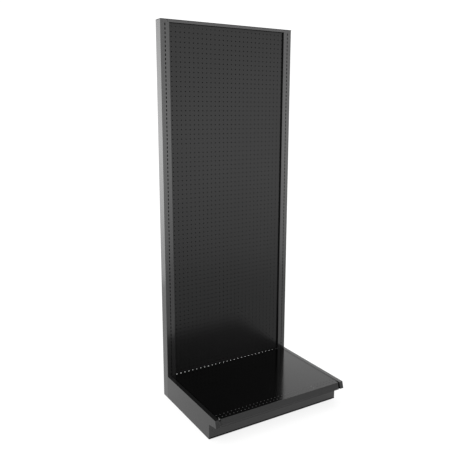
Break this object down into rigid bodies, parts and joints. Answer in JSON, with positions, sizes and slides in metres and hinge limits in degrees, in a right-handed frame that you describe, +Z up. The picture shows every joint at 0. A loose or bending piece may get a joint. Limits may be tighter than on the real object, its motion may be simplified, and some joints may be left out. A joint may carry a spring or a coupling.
{
  "type": "gondola shelving unit",
  "caption": "Wall gondola shelving unit: slotted uprights, a pegboard back and a base deck with a slanted price rail and a kick plate.",
  "frame": {"origin": "on the floor under the middle of the bounding box", "axes": "+X to the right of the unit, the front faces -Y, +Z up"},
  "size_m": [0.9752, 0.7272, 2.4657],
  "materials": {
    "powder_black": "semi-gloss black powder coat",
    "base_black": "semi-gloss black powder coat",
    "panel_black": "hardboard painted satin black",
    "deck_black": "smooth gloss black powder coat",
    "nose_black": "satin black powder coat",
    "kick_black": "satin black powder coat",
    "trim_plastic": "matte black plastic",
    "pad_plastic": "matte black plastic",
    "seal_vinyl": "matte black vinyl",
    "zinc_steel": "zinc plated"
  },
  "bodies": {
    "frame": {"upright_left_front": "powder_black", "upright_left_rear": "powder_black", "upright_right_front": "powder_black", "upright_right_rear": "powder_black", "foot_plate_left": "powder_black", "foot_plate_right": "powder_black", "base_bracket_left": "base_black", "base_bracket_right": "base_black", "deck_rest_left": "base_black", "deck_rest_right": "base_black", "back_panel": "panel_black", "rear_sheet": "panel_black", "back_rail_upper": "powder_black", "back_rail_lower": "powder_black", "back_rail_bottom": "powder_black", "top_rail": "powder_black", "top_trim": "trim_plastic", "bracket_bolts": "zinc_steel", "bracket_nuts": "zinc_steel", "rail_screws": "zinc_steel", "foot_nuts": "zinc_steel"},
    "deck_unit": {"deck": "deck_black", "price_rail": "nose_black", "deck_stiffener_front": "deck_black", "deck_stiffener_rear": "deck_black"},
    "kick": {"kick_plate": "kick_black", "kick_seal": "seal_vinyl", "kick_plate_tabs": "zinc_steel"},
    "foot_front_left": {"foot_pad_front_left": "pad_plastic", "foot_stem_front_left": "zinc_steel"},
    "foot_front_right": {"foot_pad_front_right": "pad_plastic", "foot_stem_front_right": "zinc_steel"},
    "foot_rear_left": {"foot_pad_rear_left": "pad_plastic", "foot_stem_rear_left": "zinc_steel"},
    "foot_rear_right": {"foot_pad_rear_right": "pad_plastic", "foot_stem_rear_right": "zinc_steel"}
  },
  "joints": [
    {"name": "deck_lift", "type": "slide", "parent": "frame", "child": "deck_unit", "axis": [0, 0, 1], "range_m": [0, 0.25]},
    {"name": "kick_pull", "type": "slide", "parent": "frame", "child": "kick", "axis": [0, -1, 0], "range_m": [0, 0.1]},
    {"name": "foot_screw_front_left", "type": "slide", "parent": "frame", "child": "foot_front_left", "axis": [0, 0, -1], "range_m": [0, 0.015]},
    {"name": "foot_screw_front_right", "type": "slide", "parent": "frame", "child": "foot_front_right", "axis": [0, 0, -1], "range_m": [0, 0.015]},
    {"name": "foot_screw_rear_left", "type": "slide", "parent": "frame", "child": "foot_rear_left", "axis": [0, 0, -1], "range_m": [0, 0.015]},
    {"name": "foot_screw_rear_right", "type": "slide", "parent": "frame", "child": "foot_rear_right", "axis": [0, 0, -1], "range_m": [0, 0.015]}
  ]
}
